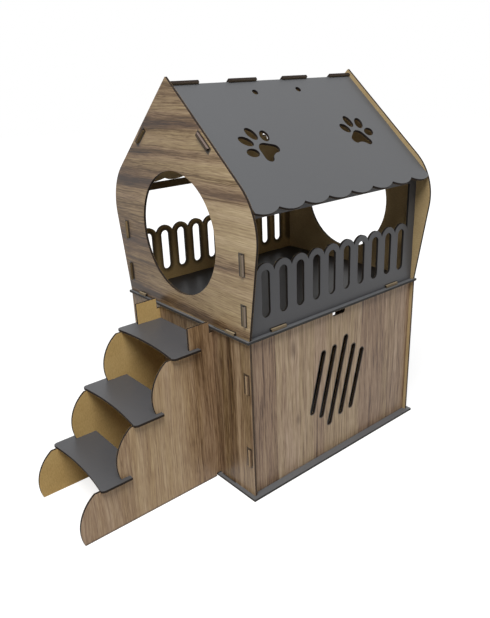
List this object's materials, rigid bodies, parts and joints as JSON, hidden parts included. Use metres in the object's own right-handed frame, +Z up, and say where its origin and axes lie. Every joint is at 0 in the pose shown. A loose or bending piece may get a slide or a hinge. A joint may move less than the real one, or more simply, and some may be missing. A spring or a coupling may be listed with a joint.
{
  "type": "cat condo",
  "caption": "Flat-pack indoor cat condo: a closed lower room, a gabled house with round doorways, arched railings and a scalloped roof on top, and round-nosed stairs at one side.",
  "frame": {"origin": "centre of the base plate's underside, on the floor", "axes": "+Z up, +X along the front to the right (the stairs are on the -X side), +Y from the front to the back"},
  "size_m": [0.7973, 0.4542, 0.7683],
  "materials": {
    "walnut_laminate": "walnut-print laminate on one face of fibreboard, satin",
    "grey_laminate": "plain dark grey laminate on one face of fibreboard, satin"
  },
  "bodies": {
    "lower_room": {"base_plate": "grey_laminate", "box_front_panel": "walnut_laminate", "box_back_panel": "walnut_laminate", "box_left_wall": "walnut_laminate", "box_right_wall": "walnut_laminate", "box_top_plate": "grey_laminate"},
    "house": {"house_floor": "grey_laminate", "left_gable": "walnut_laminate", "right_gable": "walnut_laminate", "front_railing": "grey_laminate", "back_railing": "grey_laminate", "front_roof": "grey_laminate", "back_roof": "grey_laminate"},
    "stairs": {"near_stringer": "walnut_laminate", "far_stringer": "walnut_laminate", "lower_tread": "grey_laminate", "middle_tread": "grey_laminate", "upper_tread": "grey_laminate"}
  },
  "joints": [
    {"name": "house_lift", "type": "slide", "parent": "lower_room", "child": "house", "axis": [0, 0, 1], "range_m": [0, 0.15]},
    {"name": "stairs_pull", "type": "slide", "parent": "lower_room", "child": "stairs", "axis": [-1, 0, 0], "range_m": [0, 0.15]}
  ]
}
